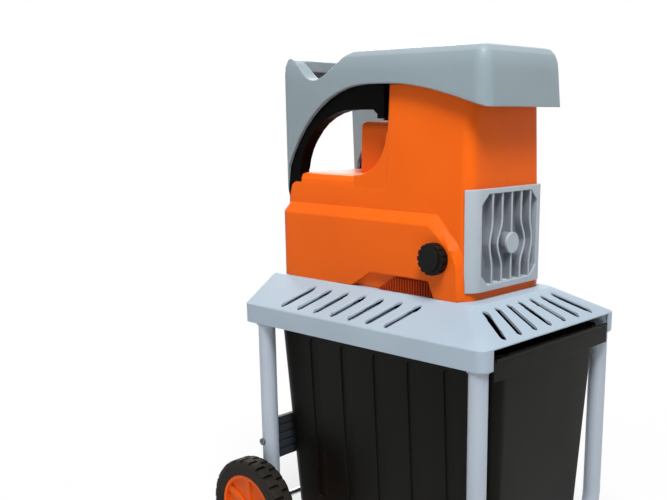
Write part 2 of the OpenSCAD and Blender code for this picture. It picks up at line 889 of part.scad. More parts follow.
module front_grille() {
    side = tower_foot_half + 2;
    color(hopper_grey) placed() {
        difference() {
            union() {
                translate([0, 0, top_z + grille_low - grille_edge - 2])
                    linear_extrude(grille_high - grille_low + 2 * grille_edge + 2) intersection() {
                        round_rect(-side, side, grille_face, grille_face + 80, grille_corner);
                        translate([-side, grille_face]) square([2 * side, grille_wrap]);
                    }
                along_y(grille_face, grille_back + 3) grille_window(4);
            }
            difference() {
                union() {
                    housing_tower(-slip_gap);
                    housing_lower(-slip_gap);
                }
                along_y(grille_face, grille_back + 3) grille_window(4);
            }
            along_y(grille_face - over, grille_back) grille_window(0);
        }
        along_y(grille_face + 1, grille_back + slice) intersection() {
            grille_window(0);
            for (i = [-2 : 2])
                grille_bar(i);
        }
        rod_y(grille_face - 2, grille_back + slice, boss_x, boss_z, boss_r);
    }
}

// Hopper cover with its arms and transport grip
function blend(a, b, t) = a + (b - a) * (1 - cos(180 * t)) / 2;

arch_a = arm_rear - arch_y + 15;
arch_b = arch_h - 60;

// Height of the arch under each arm, drawn in by a gap
function arch_point(t, gap) = [arch_y + (arch_a - gap) * cos(t), top_z + 60 + (arch_b - gap) * sin(t)];

module arm_profile() {
    steps = 10;
    low_run = [for (i = [0 : steps]) let (t = i / steps)
        [hopper_front + 7 + t * (tower_rear - 4 - hopper_front - 7),
            top_z + hopper_low + (arch_h - hopper_low) * sin(90 * t)]];
    arch_run = [for (t = [90 : -6 : 28]) arch_point(t, 0)];
    rear_run = concat([[arm_rear - 9, top_z + 160]], [for (a = [0 : 22.5 : 90])
        [arm_rear - grip_r * (1 - cos(a)), top_z + grip_h - grip_r * (1 - sin(a))]]);
    dip_out = [for (i = [0 : steps]) let (t = i / steps)
        [arm_rear - 18 - t * (arm_rear - 18 - dip_y), top_z + blend(grip_h, dip_h, t)]];
    dip_in = [for (i = [1 : steps]) let (t = i / steps)
        [dip_y - t * 109, top_z + blend(dip_h, rim_h, t)]];
    polygon(concat([[hopper_front, top_z + hopper_low]], low_run, arch_run, rear_run, dip_out, dip_in,
        [[hopper_front, top_z + rim_h]]));
}

// Plan of the hopper and its arms at each level, drawn in towards the rounded top edge
module hopper_plan_block() {
    front_r = 26;
    rear_r = front_r - 4;
    tip = 140;
    tip_draft = hopper_draft * (tip - hopper_low) / (rim_h - hopper_low);
    edge_levels = [for (a = [0 : 22.5 : 90])
        [rim_h - hopper_edge_h * (1 - sin(a)), hopper_draft, hopper_edge_r * (1 - cos(a))]];
    hull() for (level = concat([[tip, tip_draft, 0]], edge_levels)) for (x = [-1, 1]) {
        translate([x * (hopper_half - level[1] - front_r), hopper_front + level[1] + front_r,
            top_z + level[0]])
            cylinder(h = slice, r = front_r - level[2], $fn = 32);
        translate([x * (arm_half - rear_r), arm_rear - rear_r, top_z + level[0]])
            cylinder(h = slice, r = rear_r - level[2], $fn = 32);
    }
}

module liner_profile(gap) {
    hole_y = tower_rear + 80;
    hole_a = arm_rear - hole_y - 42;
    hole_rise = 180;
    hole_b = arch_h - hole_rise - liner_deep;
    hole_z = top_z + hole_rise;
    strip = tower_rear + 20;
    strip_low = top_z + pod_top + 4;
    difference() {
        polygon(concat([[tower_rear + 4, strip_low], [tower_rear + 4, top_z + arch_h - gap]],
            [for (t = [90 : -6 : 28]) arch_point(t, gap)],
            [[arm_rear - 9 - gap, top_z + 160], [arm_rear - 13, top_z + 150], [strip, top_z + 150]]));
        polygon(concat([[tower_rear, top_z + shoulder_h - 60], [tower_rear, strip_low],
            [strip, strip_low], [strip, hole_z + hole_b - 8], [strip + 8, hole_z + hole_b]],
            [for (t = [90 : -9 : 9]) [hole_y + hole_a * cos(t), hole_z + hole_b * sin(t)]],
            [[hole_y + hole_a, top_z + shoulder_h + 4], [hole_y + hole_a - 12, top_z + shoulder_h - 60]]));
    }
}

// Inner flange along the arch that a liner is seated on
module web_profile(w, end) {
    top = [for (t = [90 : -6 : end]) arch_point(t, -slice)];
    low = [for (t = [end : 6 : 90]) arch_point(t, w)];
    polygon(concat([[tower_rear + 4, top_z + arch_h + slice]], top, low, [[tower_rear + 4,
        top_z + arch_h - w]]));
}

module mouth_plan(grow) {
    round_rect(-mouth_half - grow, mouth_half + grow, mouth_front - grow, mouth_rear + grow, 16 + grow);
}

module hopper_voids() {
    wall = hopper_wall;
    ledge_z = top_z + rim_h - ledge_drop;
    floor_z = top_z + tower_h;
    half = arm_half + 1;
    front = hopper_front + wall + 2;
    translate([0, 0, ledge_z]) linear_extrude(ledge_drop + over + 2) mouth_plan(0);
    translate([0, 0, floor_z + floor_t]) linear_extrude(rim_h) mouth_plan(-lip_lap);
    translate([0, 0, floor_z - over]) linear_extrude(rim_h - tower_h - hopper_edge_h - 2) difference() {
        round_rect(-half + wall, half - wall, front, mouth_rear + lip_lap, 14);
        mouth_plan(0);
    }
    translate([0, 0, floor_z - 60]) linear_extrude(60)
        round_rect(-half + wall, half - wall, front, mouth_rear + 60, 14);
    block(-throat_half, throat_half, front_y + 11, tower_rear - 7, floor_z - over, floor_z + floor_t + over);
    block(-arm_in, arm_in, mouth_rear + wall + 4, arm_rear - 34, top_z, top_z + rim_h + over);
    block(-arm_in, arm_in, arm_rear - 35, arm_rear + over, top_z, top_z + grip_h - 60);
    block(-arm_in, arm_in, arm_rear - 35, arm_rear - 27, top_z, top_z + grip_h - 24);
    block(-arm_in, arm_in, arm_rear - 27 - slice, arm_rear - 7, top_z, top_z + grip_h - 8);
}

module hopper_cover() {
    color(hopper_grey) placed() difference() {
        union() {
            difference() {
                intersection() {
                    along_x(-hopper_half, hopper_half) arm_profile();
                    hopper_plan_block();
                }
                hopper_voids();
            }
            for (side = [0, 1])
                mirror([side, 0, 0]) along_x(arm_in, liner_in) web_profile(web_w, 36);
        }
        housing_clear();
    }
}

// Room for the housing under the hopper and the liners
module housing_clear() {
    housing_shoulder(-slip_gap);
    housing_tower(-slip_gap);
    along_x(-hw, hw) cove_outline(slip_gap);
}

module handle_liner(side) {
    color(trim_black) placed() mirror([side > 0 ? 0 : 1, 0, 0]) difference() {
        along_x(arm_in, liner_out) liner_profile(slip_gap);
        along_x(arm_in - over, liner_in + seat_gap) web_profile(web_w + seat_gap, 24);
        housing_clear();
    }
}

module left_handle_liner() { handle_liner(-1); }

module right_handle_liner() { handle_liner(1); }

// Funnel from the hopper's mouth to the cutter
funnel_wall = 3;

module funnel_step(inset) {
    lip_z = top_z + rim_h - ledge_drop;
    neck_z = top_z + tower_h + floor_t;
    foot_z = top_z + frame_h + 65;
    body = lip_lap + 1 + inset;
    chute_mid = (chamber_left + chamber_right) / 2;
    chute_half = (chamber_right - chamber_left) / 2;
    hull() {
        slab(lip_z, mouth_half - body, mouth_front + body, mouth_rear - body, 12);
        slab(neck_z, throat_half - 1.5 - inset, front_y + 13 + inset, tower_rear - 9 - inset, 14);
    }
    hull() {
        slab(neck_z, throat_half - 1.5 - inset, front_y + 13 + inset, tower_rear - 9 - inset, 14);
        translate([chute_mid, 0, 0])
            slab(foot_z, chute_half - inset, chamber_front + inset, chamber_rear - inset, 6);
    }
    z0 = top_z + frame_h - (inset > 0 ? over : 0);
    block(chute_mid - chute_half + inset, chute_mid + chute_half - inset, chamber_front + inset,
        chamber_rear - inset, z0, foot_z + slice);
}

module hopper_funnel() {
    lip_z = top_z + rim_h - ledge_drop;
    color(trim_black) placed() difference() {
        union() {
            funnel_step(0);
            translate([0, 0, lip_z]) linear_extrude(funnel_wall) mouth_plan(-1);
        }
        funnel_step(funnel_wall);
        translate([0, 0, lip_z - over]) linear_extrude(funnel_wall + 2 * over)
            mouth_plan(-lip_lap - 1.5 - funnel_wall);
    }
}

// Cutter
module cutter_frame() {
    guide_h = 6;
    color(alloy) placed() difference() {
        union() {
            difference() {
                block(frame_left, frame_right, frame_front, frame_rear, top_z, top_z + frame_h);
                block(chamber_left, chamber_right, chamber_front, chamber_rear, top_z - over,
                    top_z + frame_h + over);
            }
            for (y = [chamber_front, chamber_rear - 5])
                block(chamber_left - 1, counter_face - 4, y - slice, y + 5 + slice, guide_z - guide_h,
                    guide_z);
        }
        rod_y(frame_front - over, frame_rear + over, drum_x, drum_z, bearing_d / 2 + seat_gap);
        rod_x(frame_left - over, chamber_left + over, screw_y, screw_z, screw_d / 2 + run_gap);
    }
}

module cutting_drum() {
    r = drum_d / 2;
    root = r - 9;
    step = 360 / drum_teeth;
    groove_n = 3;
    color(steel) placed() difference() {
        along_y(cut_y - drum_l / 2, cut_y + drum_l / 2) translate([drum_x, drum_z]) difference() {
            polygon([for (i = [0 : drum_teeth - 1], p = [[r, 0], [r, 8], [root, 20], [root, step - 2]])
                p[0] * [cos(i * step + p[1]), sin(i * step + p[1])]]);
            circle(drum_shaft_d / 2 + seat_gap);
        }
        for (i = [1 : groove_n])
            translate([drum_x, cut_y - drum_l / 2 + i * drum_l / (groove_n + 1) + 2,
                drum_z]) rotate([90, 0, 0])
                difference() {
                    cylinder(h = 4, r = r + over);
                    translate([0, 0, -over]) cylinder(h = 4 + 2 * over, r = root);
                }
    }
}

module drum_shaft() {
    color(steel) placed() rod_y(frame_front, gearbox_rear + 4, drum_x, drum_z, drum_shaft_d / 2);
}

module drum_bearing(y0) {
    color(steel) placed() difference() {
        rod_y(y0, y0 + plate_t, drum_x, drum_z, bearing_d / 2);
        rod_y(y0 - over, y0 + plate_t + over, drum_x, drum_z, drum_shaft_d / 2 + run_gap);
    }
}

module front_drum_bearing() { drum_bearing(frame_front); }

module rear_drum_bearing() { drum_bearing(chamber_rear); }

module counter_plate() {
    high = drum_z + 36;
    color(alloy) placed() difference() {
        block(counter_back, counter_face, chamber_front + slip_gap, chamber_rear - slip_gap,
            guide_z + slip_gap, high);
        rod_x(counter_back - over, counter_face - 4, screw_y, screw_z, screw_d / 2 + run_gap);
        along_y(chamber_front, chamber_rear)
            polygon([[counter_back + 8, high + over], [counter_face + over, high + over],
                [counter_face + over, high - 16]]);
    }
}

module adjusting_screw() {
    collar_t = 4;
    color(steel) placed() {
        rod_x(-hw - knob_l + 6, counter_back + screw_bite, screw_y, screw_z, screw_d / 2);
        for (x = [frame_left - slip_gap - collar_t, chamber_left + slip_gap])
            rod_x(x, x + collar_t, screw_y, screw_z, screw_d / 2 + 3);
    }
}

module adjusting_knob() {
    flute_count = 14;
    start = hw + slip_gap;
    color(trim_black) placed() translate([-start, screw_y, screw_z]) rotate([0, -90, 0]) difference() {
        union() {
            cylinder(h = knob_l - 4, r = knob_d / 2);
            cylinder(h = knob_l, r = knob_d / 2 - 7);
        }
        for (i = [0 : flute_count - 1])
            rotate([0, 0, i * 360 / flute_count]) translate([knob_d / 2 + 1.2, 0, 4])
                cylinder(h = knob_l, r = 3.2);
        translate([0, 0, -over]) cylinder(h = knob_l - 6 + over + slip_gap, r = screw_d / 2 + seat_gap);
    }
}

// Gears with stub involute teeth, drawn in X and Z
function involute(a) = tan(a) * 180 / PI - a;

function tooth_half(n, m, r) = 90 / n - backlash / m / n * 90 / PI + involute(pressure)
    - involute(acos(min(1, n * m / 2 * cos(pressure) / r)));

module gear_2d(n, m, turn) {
    r = n * m / 2;
    base = r * cos(pressure);
    root = r - m;
    tip = r + stub * m;
    radii = root < base ? [root, base, r, tip] : [root, r, tip];
    last = len(radii) - 1;
    polygon([for (i = [0 : n - 1]) let (mid = turn + i * 360 / n) each concat(
        [for (k = [0 : last]) let (a = mid - tooth_half(n, m, max(radii[k], base))) radii[k] * [cos(a),
            sin(a)]],
        [for (k = [last : -1 : 0]) let (a = mid + tooth_half(n, m, max(radii[k], base)))
            radii[k] * [cos(a), sin(a)]])]);
}

module gear(x, z, y0, y1, n, m, turn, bore) {
    along_y(y0, y1) translate([x, z]) difference() {
        gear_2d(n, m, turn);
        circle(bore);
    }
}

module drum_gear() {
    color(steel) placed() gear(drum_x, drum_z, slow_front, slow_front + gear_t, wheel_teeth, slow_module,
        slow_angle, drum_shaft_d / 2 + seat_gap);
}

module countershaft() {
    pinion_turn = slow_angle + 180 + 180 / pinion_teeth;
    color(steel) placed() {
        gear(counter_x, counter_z, slow_front - 1, slow_front + gear_t + 1, pinion_teeth, slow_module,
            pinion_turn, counter_d / 2 - over);
        rod_y(gearbox_front + 4, gearbox_rear + 4, counter_x, counter_z, counter_d / 2);
    }
}

module countershaft_gear() {
    color(steel) placed() gear(counter_x, counter_z, fast_front, fast_front + fast_t, wheel_teeth,
        fast_module,
        fast_angle, counter_d / 2 + seat_gap);
}

gear_room = 3;
gearbox_bolt_r = 1.75;
gearbox_bolt_l = cover_plate_t + 14;
gearbox_x0 = min(drum_x - slow_module * wheel_teeth / 2, counter_x - fast_module * wheel_teeth / 2)
    - slow_module - gear_room;
gearbox_x1 = drum_x + slow_module * (wheel_teeth / 2 + 1) + gear_room;
gearbox_z0 = drum_z - slow_module * (wheel_teeth / 2 + 1) - gear_room;
gearbox_z1 = counter_z + fast_module * (wheel_teeth / 2 + 1) + gear_room;

module gearbox_housing() {
    w = box_wall_t;
    color(alloy) placed() difference() {
        block(gearbox_x0 - w, gearbox_x1 + w, gearbox_front, gearbox_rear, gearbox_z0 - w, gearbox_z1 + w);
        block(gearbox_x0, gearbox_x1, gearbox_front + 8, gearbox_rear + over, gearbox_z0, gearbox_z1);
        rod_y(gearbox_front - over, gearbox_rear, drum_x, drum_z, drum_shaft_d / 2 + run_gap);
        rod_y(gearbox_front + 4 - run_gap, gearbox_rear, counter_x, counter_z, counter_d / 2 + run_gap);
        gearbox_bolt_holes();
    }
}

module gearbox_bolt_holes() {
    gearbox_bolt_places(motor_front - gearbox_bolt_l - slip_gap)
        cylinder(h = gearbox_bolt_l + slip_gap + over, r = gearbox_bolt_r + seat_gap);
}

module gearbox_cover() {
    w = box_wall_t;
    color(alloy) placed() difference() {
        block(gearbox_x0 - w, gearbox_x1 + w, gearbox_rear, motor_front, gearbox_z0 - w, gearbox_z1 + w);
        rod_y(gearbox_rear - over, gearbox_rear + 4 + slip_gap, drum_x, drum_z, drum_shaft_d / 2 + run_gap);
        rod_y(gearbox_rear - over, gearbox_rear + 4 + slip_gap, counter_x, counter_z,
            counter_d / 2 + run_gap);
        rod_y(gearbox_rear - over, motor_front + over, motor_x, motor_z, motor_shaft_d / 2 + run_gap);
        gearbox_bolt_holes();
    }
}

// Motor
module motor_ring(y0, y1, outer, inner) {
    difference() {
        rod_y(y0, y1, motor_x, motor_z, outer);
        rod_y(y0 - over, y1 + over, motor_x, motor_z, inner);
    }
}

stator_front = motor_front + 30;
stator_rear = motor_rear - 32;
barrel_t = 6;
fin_n = 24;
fin_h = 4;
fin_t = 3;
fin_end = 2;

module motor_housing() {
    color(alloy) placed() {
        motor_ring(motor_front, motor_rear, motor_d / 2 - fin_h, motor_d / 2 - fin_h - barrel_t);
        for (i = [0 : fin_n - 1])
            translate([motor_x, 0, motor_z]) rotate([0, i * 360 / fin_n, 0])
                block(motor_d / 2 - fin_h - 1, motor_d / 2, motor_front + fin_end, motor_rear - fin_end,
                    -fin_t / 2, fin_t / 2);
    }
}

module motor_stator() {
    color(steel) placed()
        motor_ring(stator_front, stator_rear, motor_d / 2 - fin_h - barrel_t - seat_gap, rotor_d / 2 + 0.5);
}

module motor_windings() {
    outer = motor_d / 2 - fin_h - barrel_t - 6;
    color(copper) placed() {
        motor_ring(stator_front - 18, stator_front, outer, rotor_d / 2 + 5);
        motor_ring(stator_rear, stator_rear + 18, outer, rotor_d / 2 + 5);
    }
}

module motor_rotor() {
    color(steel) placed()
        motor_ring(stator_front - 2, stator_rear + 2, rotor_d / 2, motor_shaft_d / 2 + seat_gap);
}

module motor_shaft() {
    color(steel) placed() {
        gear(motor_x, motor_z, fast_front - 1, gearbox_rear - 2, pinion_teeth, fast_module,
            fast_angle + 180 + 180 / pinion_teeth, fast_module);
        rod_y(fast_front - 1, gearbox_rear - 2, motor_x, motor_z, fast_module * 2);
        rod_y(gearbox_rear - 2 - slice, fan_front + fan_t, motor_x, motor_z, motor_shaft_d / 2);
    }
}

module motor_end_shield() {
    color(alloy) placed()
        motor_ring(motor_rear, motor_rear + shield_t, motor_d / 2 - fin_h, motor_shaft_d / 2 + run_gap);
}

module motor_fan() {
    blade_n = 9;
    fan_r = motor_d / 2 - 14;
    color(trim_black) placed() {
        motor_ring(fan_front, fan_front + 3, fan_r, motor_shaft_d / 2 + seat_gap);
        motor_ring(fan_front, fan_front + fan_t, motor_shaft_d / 2 + 6, motor_shaft_d / 2 + seat_gap);
        for (i = [0 : blade_n - 1])
            translate([motor_x, 0, motor_z]) rotate([0, i * 360 / blade_n, 0])
                block(motor_shaft_d / 2 + 4, fan_r, fan_front + 2, fan_front + fan_t, -1, 1);
    }
}

module motor_bracket() {
    y0 = motor_rear - 50;
    color(steel) placed() difference() {
        block(motor_x - 45, motor_x + 45, y0, y0 + 24, top_z, motor_z - motor_d / 4);
        rod_y(y0 - over, y0 + 25, motor_x, motor_z, motor_d / 2 + slip_gap);
    }
}

cap_r = 19;
cap_x = hw - housing_wall - 6 - cap_r;
cap_z = top_z + 12 + cap_r;
cap_front = motor_front + 70;

module motor_capacitor() {
    color(steel) placed() {
        rod_y(cap_front, cap_front + 84, cap_x, cap_z, cap_r);
        rod_y(cap_front - 8, cap_front + slice, cap_x, cap_z, 6);
    }
}

module capacitor_clip() {
    y0 = cap_front + 30;
    y1 = y0 + 20;
    arm = cap_r + 2;
    color(steel) placed() difference() {
        block(cap_x - arm, cap_x + arm, y0, y1, top_z, cap_z + 4);
        rod_y(y0 - over, y1 + over, cap_x, cap_z, cap_r + seat_gap);
        block(cap_x - cap_r, cap_x + cap_r, y0 - over, y1 + over, cap_z, cap_z + 4 + over);
    }
}

// Switch unit, its buttons and the power inlet
button_x = 20;
button_z = switch_low + 44;
small_z = switch_low + 17;
reset_d = 10;
knob_stub_d = 8;

module switch_unit() {
    color(trim_black) placed() difference() {
        union() {
            block(-switch_half, switch_half, switch_back, pod_rear + slip_gap, switch_low,
                switch_low + switch_h);
            block(-switch_half - 4, switch_half + 4, pod_rear + slip_gap, switch_face, switch_low - 4,
                switch_low + switch_h + 4);
        }
        for (x = [-button_x, button_x])
            rod_y(switch_back + 6, switch_face + over, x, button_z, button_d / 2 + run_gap);
        rod_y(switch_back + 6, switch_face + over, button_x, small_z, reset_d / 2 + run_gap);
        rod_y(switch_back + 6, switch_face + over, -button_x, small_z, knob_stub_d / 2 + run_gap);
    }
}

module push_button(x, z, d, tint) {
    color(tint) placed() {
        rod_y(switch_back + 6 + button_travel + 2, switch_face + button_travel + 2, x, z, d / 2);
    }
}

module on_button() { push_button(-button_x, button_z, button_d, "green"); }

module off_button() { push_button(button_x, button_z, button_d, "red"); }

module reset_button() { push_button(button_x, small_z, reset_d, "dimgray"); }

module direction_selector() {
    color("dimgray") placed() {
        rod_y(switch_back + 8, switch_face + 4, -button_x, small_z, knob_stub_d / 2);
        rod_y(switch_face + slip_gap, switch_face + 5, -button_x, small_z, selector_d / 2);
        block(-button_x - 3, -button_x + 3, switch_face + 5 - slice, switch_face + 14,
            small_z - selector_d / 2 + 1.5, small_z + selector_d / 2 - 1.5);
    }
}

inlet_x = 52;
inlet_z = top_z + 62;
inlet_r = 21;

module power_inlet() {
    pin_gap = 9.5;
    color(trim_black) placed() {
        difference() {
            union() {
                rod_y(rear_y - 14, rear_y + 24, inlet_x, inlet_z, inlet_r);
                rod_y(rear_y + slip_gap, rear_y + 3, inlet_x, inlet_z, inlet_r + 7);
            }
            rod_y(rear_y - 8, rear_y + 25, inlet_x, inlet_z, inlet_r - 3);
        }
        for (x = [-pin_gap, pin_gap])
            rod_y(rear_y - 8 - slice, rear_y + 12, inlet_x + x, inlet_z, 2.4);
    }
}

// Fasteners
module pan_screw(head_r, head_h, r, l) {
    difference() {
        union() {
            cylinder(h = head_h, r = head_r);
            translate([0, 0, -l]) cylinder(h = l + slice, r = r);
        }
        translate([0, 0, head_h - 1]) cylinder(h = 2, r = head_r / 2, $fn = 6);
    }
}

screw_places = [[front_y + 115, top_z + flank_h - 22], [front_y + 245, top_z + flank_h - 22],
    [rear_y - rear_r - 6, top_z + flank_h - 22], [rear_y - rear_r - 6, top_z + 22]];
housing_screw_r = 2.2;

module housing_screws() {
    color(steel) placed() for (p = screw_places)
        translate([hw, p[0], p[1]]) rotate([0, 90, 0]) pan_screw(5, 2.5, housing_screw_r, housing_wall + 8);
}

module gearbox_bolt_places(y) {
    for (x = [gearbox_x0 - box_wall_t / 2, gearbox_x1 + box_wall_t / 2])
        for (z = [gearbox_z0 + 8, gearbox_z1 - 8])
            translate([x, y, z]) rotate([-90, 0, 0]) children();
}

module gearbox_bolts() {
    color(steel) placed() gearbox_bolt_places(motor_front)
        pan_screw(2.9, 2.5, gearbox_bolt_r, gearbox_bolt_l);
}

module leg_screws() {
    color(steel) placed() for (side = [-1, 1])
        translate([side * (leg_x + tube_r), panel_y, leg_screw_z]) rotate([0, side * 90, 0])
            pan_screw(7, 3, leg_screw_r, tube_d + 12);
}

base_cover();
front_hoop();
left_rear_leg();
right_rear_leg();
rear_cross_panel();
left_foot();
right_foot();
wheel_axle();
axle_washers();
axle_caps();
left_tyre();
right_tyre();
left_hub();
right_hub();
left_box_rail();
right_box_rail();
collection_box();
housing_left();
housing_right();
left_vent_insert();
right_vent_insert();
front_grille();
hopper_cover();
left_handle_liner();
right_handle_liner();
hopper_funnel();
cutter_frame();
cutting_drum();
drum_shaft();
front_drum_bearing();
rear_drum_bearing();
counter_plate();
adjusting_screw();
adjusting_knob();
gearbox_housing();
gearbox_cover();
drum_gear();
countershaft();
countershaft_gear();
motor_housing();
motor_stator();
motor_windings();
motor_rotor();
motor_shaft();
motor_end_shield();
motor_fan();
motor_bracket();
motor_capacitor();
capacitor_clip();
switch_unit();
on_button();
off_button();
reset_button();
direction_selector();
power_inlet();
housing_screws();
gearbox_bolts();
leg_screws();
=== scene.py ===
import json
import math
import bmesh
import bpy
from mathutils import Matrix, Vector
from mathutils.bvhtree import BVHTree
from mathutils.kdtree import KDTree


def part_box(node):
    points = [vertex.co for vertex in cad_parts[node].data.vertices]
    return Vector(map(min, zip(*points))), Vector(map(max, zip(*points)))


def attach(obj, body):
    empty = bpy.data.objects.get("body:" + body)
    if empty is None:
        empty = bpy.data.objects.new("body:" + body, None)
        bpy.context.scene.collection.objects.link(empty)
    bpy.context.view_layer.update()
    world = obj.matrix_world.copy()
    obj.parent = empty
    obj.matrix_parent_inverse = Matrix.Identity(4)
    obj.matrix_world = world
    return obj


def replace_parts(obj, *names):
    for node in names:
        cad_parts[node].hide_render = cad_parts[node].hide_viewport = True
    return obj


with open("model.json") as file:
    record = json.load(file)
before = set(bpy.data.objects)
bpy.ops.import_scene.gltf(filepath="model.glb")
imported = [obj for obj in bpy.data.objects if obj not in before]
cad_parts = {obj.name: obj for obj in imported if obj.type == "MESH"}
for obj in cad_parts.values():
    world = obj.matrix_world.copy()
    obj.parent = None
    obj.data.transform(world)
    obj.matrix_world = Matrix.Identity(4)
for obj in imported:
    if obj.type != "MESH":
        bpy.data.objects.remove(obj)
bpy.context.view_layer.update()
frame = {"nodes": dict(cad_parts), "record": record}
nodes = frame["nodes"]
nodeSlot = {row["node"]: row["material_slot"] for row in frame["record"]["subparts"]}
bodies = frame["record"]["behaviour"]["bodies"]
nodeBody = {node: body for body, members in bodies.items() for node in members}
scene = bpy.context.scene
scene.view_settings.view_transform = "Standard"
print("frame loaded with", len(nodes), "nodes")

photoView = {
    "place": (-1.2773, -1.1035, 0.8486),
    "turn": -48.834,
    "down": 12.543,
    "focalPixels": 912.0,
    "centrePixel": (409.4, 316.9),
    "imageSize": (667, 500),
    "sensor": 36.0,
}


def placeCamera(view):
    wide, high = view["imageSize"]
    data = bpy.data.cameras.new("photoCamera")
    data.sensor_width = view["sensor"]
    data.lens = view["focalPixels"] * view["sensor"] / wide
    data.shift_x = (wide / 2 - view["centrePixel"][0]) / wide
    data.shift_y = (view["centrePixel"][1] - high / 2) / wide
    camera = bpy.data.objects.new("photoCamera", data)
    camera.location = view["place"]
    camera.rotation_euler = (math.radians(90 - view["down"]), 0, math.radians(view["turn"]))
    scene.collection.objects.link(camera)
    scene.camera = camera


placeCamera(photoView)
print("camera placed")

finishLook = {  # what all the finishes share
    "noiseLow": 0.3, "noiseHigh": 0.7,  # the span in which most of a noise lies
    "markDetail": 4.0, "grainDetail": 2.0, "bumpHeight": 0.0003,
    # the noise that breaks up the lighter corner colour, which is partly edge wear and partly a painted
    # highlight along the edges
    "wearAndHighlightScale": 60.0, "wearAndHighlightDetail": 3.0, "wearAndHighlightLow": 0.35, "wearAndHighlightHigh": 0.7,
    "cornerSamples": 4, "cornerStart": 0.995, "cornerFull": 0.9,  # how far the rounded normal turns away
    # the recess fade sets how softly the painted shade inside a recess fades in
    "metalEdge": 0.0008, "paintedRecessShadeFade": 0.002,
}


def tint(red, green, blue):  # screen colour, 0 to 255, to the linear value a shader takes
    parts = [c / 255 for c in (red, green, blue)]
    linear = [c / 12.92 if c <= 0.04045 else ((c + 0.055) / 1.055) ** 2.4 for c in parts]
    return (*linear, 1.0)


def addNode(tree, kind, **inputs):
    node = tree.nodes.new(kind)
    for name, value in inputs.items():
        node.inputs[name].default_value = value
    return node


def newFinish(name):
    material = bpy.data.materials.new(name)
    material.use_nodes = True
    tree = material.node_tree
    shader = tree.nodes["Principled BSDF"]
    coords = tree.nodes.new("ShaderNodeTexCoord")
    return material, tree, shader, coords.outputs["Object"]


def noise(tree, coords, scale, detail, stretch=None):
    if stretch:
        mapping = addNode(tree, "ShaderNodeMapping", Scale=stretch)
        tree.links.new(coords, mapping.inputs["Vector"])
        coords = mapping.outputs["Vector"]
    texture = addNode(tree, "ShaderNodeTexNoise", Scale=scale, Detail=detail)
    tree.links.new(coords, texture.inputs["Vector"])
    return texture.outputs["Fac"]


def remap(tree, factor, fromLow, fromHigh, toLow, toHigh):
    ends = {"From Min": fromLow, "From Max": fromHigh, "To Min": toLow, "To Max": toHigh}
    spread = addNode(tree, "ShaderNodeMapRange", **ends)
    tree.links.new(factor, spread.inputs["Value"])
    return spread.outputs["Result"]


def times(tree, one, other):
    product = tree.nodes.new("ShaderNodeMath")
    product.operation = "MULTIPLY"
    tree.links.new(one, product.inputs[0])
    tree.links.new(other, product.inputs[1])
    return product.outputs[0]


def colourRamp(tree, factor, dark, light):
    ramp = tree.nodes.new("ShaderNodeValToRGB")
    first, last = ramp.color_ramp.elements
    first.position, first.color = finishLook["noiseLow"], dark
    last.position, last.color = finishLook["noiseHigh"], light
    tree.links.new(factor, ramp.inputs["Fac"])
    return ramp.outputs["Color"]


def insideBox(tree, coords, low, high, fade):  # 1 inside a box of the object's own coordinates, 0 outside
    split = tree.nodes.new("ShaderNodeSeparateXYZ")
    tree.links.new(coords, split.inputs[0])
    total = None
    for axis in range(3):
        place = split.outputs[axis]
        rise = remap(tree, place, low[axis], low[axis] + fade, 0.0, 1.0)
        fall = remap(tree, place, high[axis] - fade, high[axis], 1.0, 0.0)
        span = times(tree, rise, fall)
        total = times(tree, total, span) if total else span
    return total


def mixColour(tree, factor, under, over):
    mix = tree.nodes.new("ShaderNodeMix")
    mix.data_type = "RGBA"
    tree.links.new(factor, mix.inputs["Factor"])
    tree.links.new(under, mix.inputs["A"])
    mix.inputs["B"].default_value = over
    return mix.outputs["Result"]


def softEdge(tree, width):  # the rounded normal of a moulded corner, and a mask of where the corners are
    bevel = addNode(tree, "ShaderNodeBevel", Radius=width)
    bevel.samples = finishLook["cornerSamples"]
    surface = tree.nodes.new("ShaderNodeNewGeometry")
    match = tree.nodes.new("ShaderNodeVectorMath")
    match.operation = "DOT_PRODUCT"
    tree.links.new(bevel.outputs["Normal"], match.inputs[0])
    tree.links.new(surface.outputs["Normal"], match.inputs[1])
    span = finishLook["cornerStart"], finishLook["cornerFull"]
    return bevel.outputs["Normal"], remap(tree, match.outputs["Value"], *span, 0.0, 1.0)


def addRoughness(tree, factor, look, shader):
    span = finishLook["noiseLow"], finishLook["noiseHigh"]
    tree.links.new(remap(tree, factor, *span, look["smooth"], look["rough"]), shader.inputs["Roughness"])


def addBump(tree, factor, strength, normal, shader):
    bump = addNode(tree, "ShaderNodeBump", Strength=strength, Distance=finishLook["bumpHeight"])
    tree.links.new(factor, bump.inputs["Height"])
    tree.links.new(normal, bump.inputs["Normal"])
    tree.links.new(bump.outputs["Normal"], shader.inputs["Normal"])


